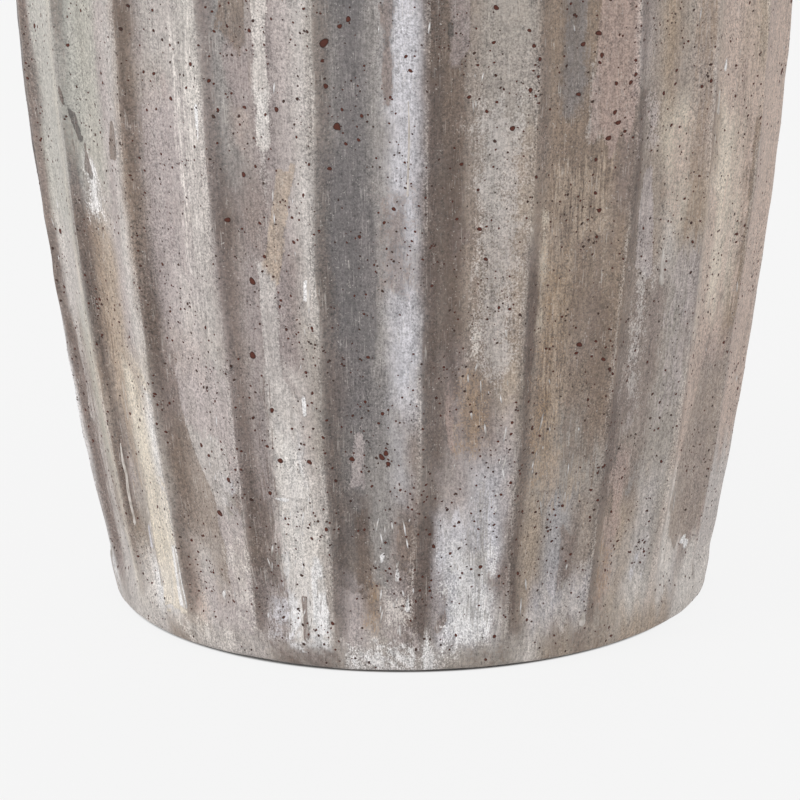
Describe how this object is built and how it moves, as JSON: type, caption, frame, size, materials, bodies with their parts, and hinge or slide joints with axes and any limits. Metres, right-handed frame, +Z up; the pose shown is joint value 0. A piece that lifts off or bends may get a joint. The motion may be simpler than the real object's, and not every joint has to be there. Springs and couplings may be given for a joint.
{
  "type": "fluted urn vase",
  "caption": "Large fluted urn vase with a high round belly, broad concave flutes, a plain foot band, a short neck and a rolled lip, open at the mouth.",
  "frame": {"origin": "middle of the plane that the vase rests on, the undersides of the felt pads", "axes": "+Z up along the vase's axis, -Y towards the side that the picture shows, +X to that side's right"},
  "size_m": [0.2894, 0.2891, 0.4199],
  "materials": {
    "glazed_body": "weathered satin glaze, brushed in vertical streaks of grey, mauve, taupe and cream, with rust-brown iron speckles",
    "inner_clay": "thin matte wash over bare clay",
    "felt": "pressed felt"
  },
  "bodies": {
    "root": {"felt_pads": "felt", "floor_disc": "glazed_body", "floor_coil": "inner_clay", "lower_wall": "glazed_body", "seam_coil": "inner_clay", "upper_wall": "glazed_body", "neck_collar": "glazed_body", "rim_roll": "glazed_body"}
  },
  "joints": []
}
